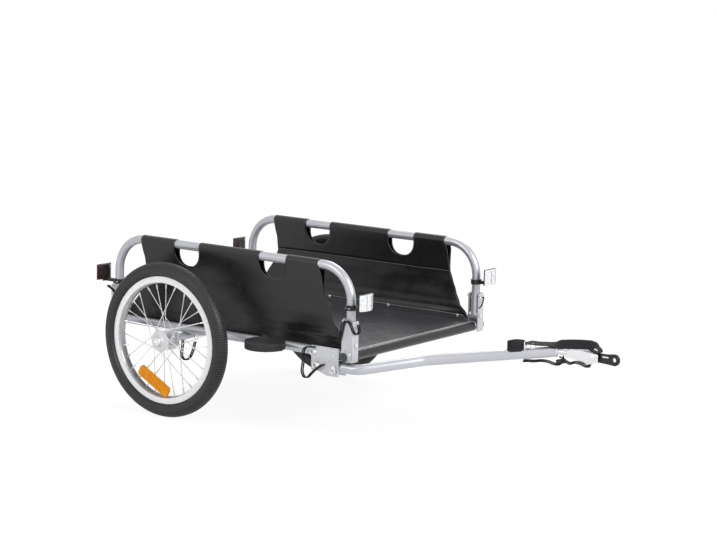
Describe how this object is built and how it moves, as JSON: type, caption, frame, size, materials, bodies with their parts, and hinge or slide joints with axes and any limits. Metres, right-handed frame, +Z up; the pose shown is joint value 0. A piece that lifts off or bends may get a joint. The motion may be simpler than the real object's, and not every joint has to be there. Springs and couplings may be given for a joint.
{
  "type": "bicycle cargo trailer",
  "caption": "Two-wheeled open cargo trailer for a bicycle: tube frame, fabric sling between folding side hoops, bumper rollers and a bent tow arm with an axle hitch.",
  "frame": {"origin": "on the ground below the middle of the whole outline", "axes": "+X forwards along the bed to the hitch, +Y to the trailer's left, +Z up"},
  "size_m": [1.3625, 0.764, 0.4318],
  "materials": {
    "silver_paint": "silver-grey paint, satin",
    "bright_zinc": "bright zinc plating",
    "black_plastic": "moulded, satin black",
    "black_steel": "black coating",
    "tyre_rubber": "black rubber with a fine tread",
    "rim": "white to silver, satin",
    "spoke_steel": "bright",
    "coated_fabric": "black coated woven sheet with a soft sheen",
    "webbing": "black woven webbing",
    "black_cord": "black plastic-coated cord, 3.2 mm",
    "white_lens": "clear over a white reflector",
    "red_lens": "red",
    "orange_lens": "orange"
  },
  "bodies": {
    "frame": {"front_cross_tube": "silver_paint", "rear_cross_tube": "silver_paint", "right_side_rail": "silver_paint", "left_side_rail": "silver_paint", "axle_beam": "silver_paint", "floor_panel": "coated_fabric", "tow_bracket": "silver_paint", "tow_pivot_pin": "bright_zinc", "front_right_fold_bracket": "silver_paint", "front_right_tube_plug": "black_plastic", "front_left_fold_bracket": "silver_paint", "front_left_tube_plug": "black_plastic", "rear_right_fold_bracket": "silver_paint", "rear_right_tube_plug": "black_plastic", "rear_left_fold_bracket": "silver_paint", "rear_left_tube_plug": "black_plastic", "right_bumper_bracket": "black_steel", "right_wheel_axle": "bright_zinc", "left_bumper_bracket": "black_steel", "left_wheel_axle": "bright_zinc", "front_right_lock_tether": "black_cord", "rear_right_lock_tether": "black_cord", "right_wheel_release_tether": "black_cord", "tow_bracket_tether": "black_cord"},
    "right_side": {"right_hoop": "silver_paint", "right_side_panel": "coated_fabric", "front_right_reflector": "white_lens", "front_right_reflector_clamp": "black_plastic", "rear_right_reflector": "red_lens", "rear_right_reflector_clamp": "black_plastic"},
    "right_wheel": {"right_tyre": "tyre_rubber", "right_rim": "rim", "right_hub_and_spokes": "spoke_steel", "right_spoke_reflector": "orange_lens"},
    "right_roller": {"right_bumper_roller": "black_plastic"},
    "right_wheel_release": {"right_wheel_release_pin": "bright_zinc"},
    "front_right_lock": {"front_right_lock_pin": "bright_zinc"},
    "rear_right_lock": {"rear_right_lock_pin": "bright_zinc"},
    "left_side": {"left_hoop": "silver_paint", "left_side_panel": "coated_fabric", "front_left_reflector": "white_lens", "front_left_reflector_clamp": "black_plastic", "rear_left_reflector": "red_lens", "rear_left_reflector_clamp": "black_plastic"},
    "left_wheel": {"left_tyre": "tyre_rubber", "left_rim": "rim", "left_hub_and_spokes": "spoke_steel", "left_spoke_reflector": "orange_lens"},
    "left_roller": {"left_bumper_roller": "black_plastic"},
    "left_wheel_release": {"left_wheel_release_pin": "bright_zinc"},
    "front_left_lock": {"front_left_lock_pin": "bright_zinc"},
    "rear_left_lock": {"rear_left_lock_pin": "bright_zinc"},
    "arm": {"tow_arm": "silver_paint", "safety_strap": "webbing", "hitch_tether": "black_cord"},
    "arm_lock": {"tow_lock_pin": "bright_zinc"},
    "bracket_pin": {"tow_bracket_pin": "bright_zinc"},
    "yoke": {"hitch_yoke": "bright_zinc", "coupler_pin": "bright_zinc"},
    "coupler": {"coupler_plate": "black_steel"}
  },
  "joints": [
    {"name": "right_wheel_spin", "type": "hinge", "parent": "frame", "child": "right_wheel", "pos_m": [-0.40465, -0.343, 0.1925], "axis": [0, 1, 0], "continuous": true},
    {"name": "right_side_fold", "type": "hinge", "parent": "frame", "child": "right_side", "pos_m": [-0.26085, -0.2683, 0.2383], "axis": [-1, 0, 0], "range_deg": [0, 90]},
    {"name": "right_roller_spin", "type": "hinge", "parent": "frame", "child": "right_roller", "pos_m": [-0.10235, -0.332, 0.2105], "axis": [0, 0, 1], "continuous": true},
    {"name": "right_wheel_release_pull", "type": "slide", "parent": "frame", "child": "right_wheel_release", "axis": [1, 0, 0], "range_m": [0, 0.024]},
    {"name": "front_right_lock_pull", "type": "slide", "parent": "frame", "child": "front_right_lock", "axis": [-1, 0, 0], "range_m": [0, 0.03]},
    {"name": "rear_right_lock_pull", "type": "slide", "parent": "frame", "child": "rear_right_lock", "axis": [-1, 0, 0], "range_m": [0, 0.03]},
    {"name": "left_wheel_spin", "type": "hinge", "parent": "frame", "child": "left_wheel", "pos_m": [-0.40465, 0.343, 0.1925], "axis": [0, 1, 0], "continuous": true},
    {"name": "left_side_fold", "type": "hinge", "parent": "frame", "child": "left_side", "pos_m": [-0.26085, 0.2683, 0.2383], "axis": [1, 0, 0], "range_deg": [0, 90]},
    {"name": "left_roller_spin", "type": "hinge", "parent": "frame", "child": "left_roller", "pos_m": [-0.10235, 0.332, 0.2105], "axis": [0, 0, 1], "continuous": true},
    {"name": "left_wheel_release_pull", "type": "slide", "parent": "frame", "child": "left_wheel_release", "axis": [1, 0, 0], "range_m": [0, 0.024]},
    {"name": "front_left_lock_pull", "type": "slide", "parent": "frame", "child": "front_left_lock", "axis": [-1, 0, 0], "range_m": [0, 0.03]},
    {"name": "rear_left_lock_pull", "type": "slide", "parent": "frame", "child": "rear_left_lock", "axis": [-1, 0, 0], "range_m": [0, 0.03]},
    {"name": "tow_arm_fold", "type": "hinge", "parent": "frame", "child": "arm", "pos_m": [0.02065, -0.2683, 0.1795], "axis": [0, 1, 0], "range_deg": [0, 178]},
    {"name": "tow_lock_pull", "type": "slide", "parent": "frame", "child": "arm_lock", "axis": [0, -1, 0], "range_m": [0, 0.04]},
    {"name": "tow_bracket_pin_pull", "type": "slide", "parent": "frame", "child": "bracket_pin", "axis": [0, -1, 0], "range_m": [0, 0.034]},
    {"name": "hitch_roll", "type": "hinge", "parent": "arm", "child": "yoke", "pos_m": [0.51675, -0.02, 0.2422], "axis": [1, 0, 0], "range_deg": [-60, 60]},
    {"name": "coupler_tilt", "type": "hinge", "parent": "yoke", "child": "coupler", "pos_m": [0.61775, -0.02, 0.2422], "axis": [0, 1, 0], "range_deg": [-30, 30]}
  ]
}
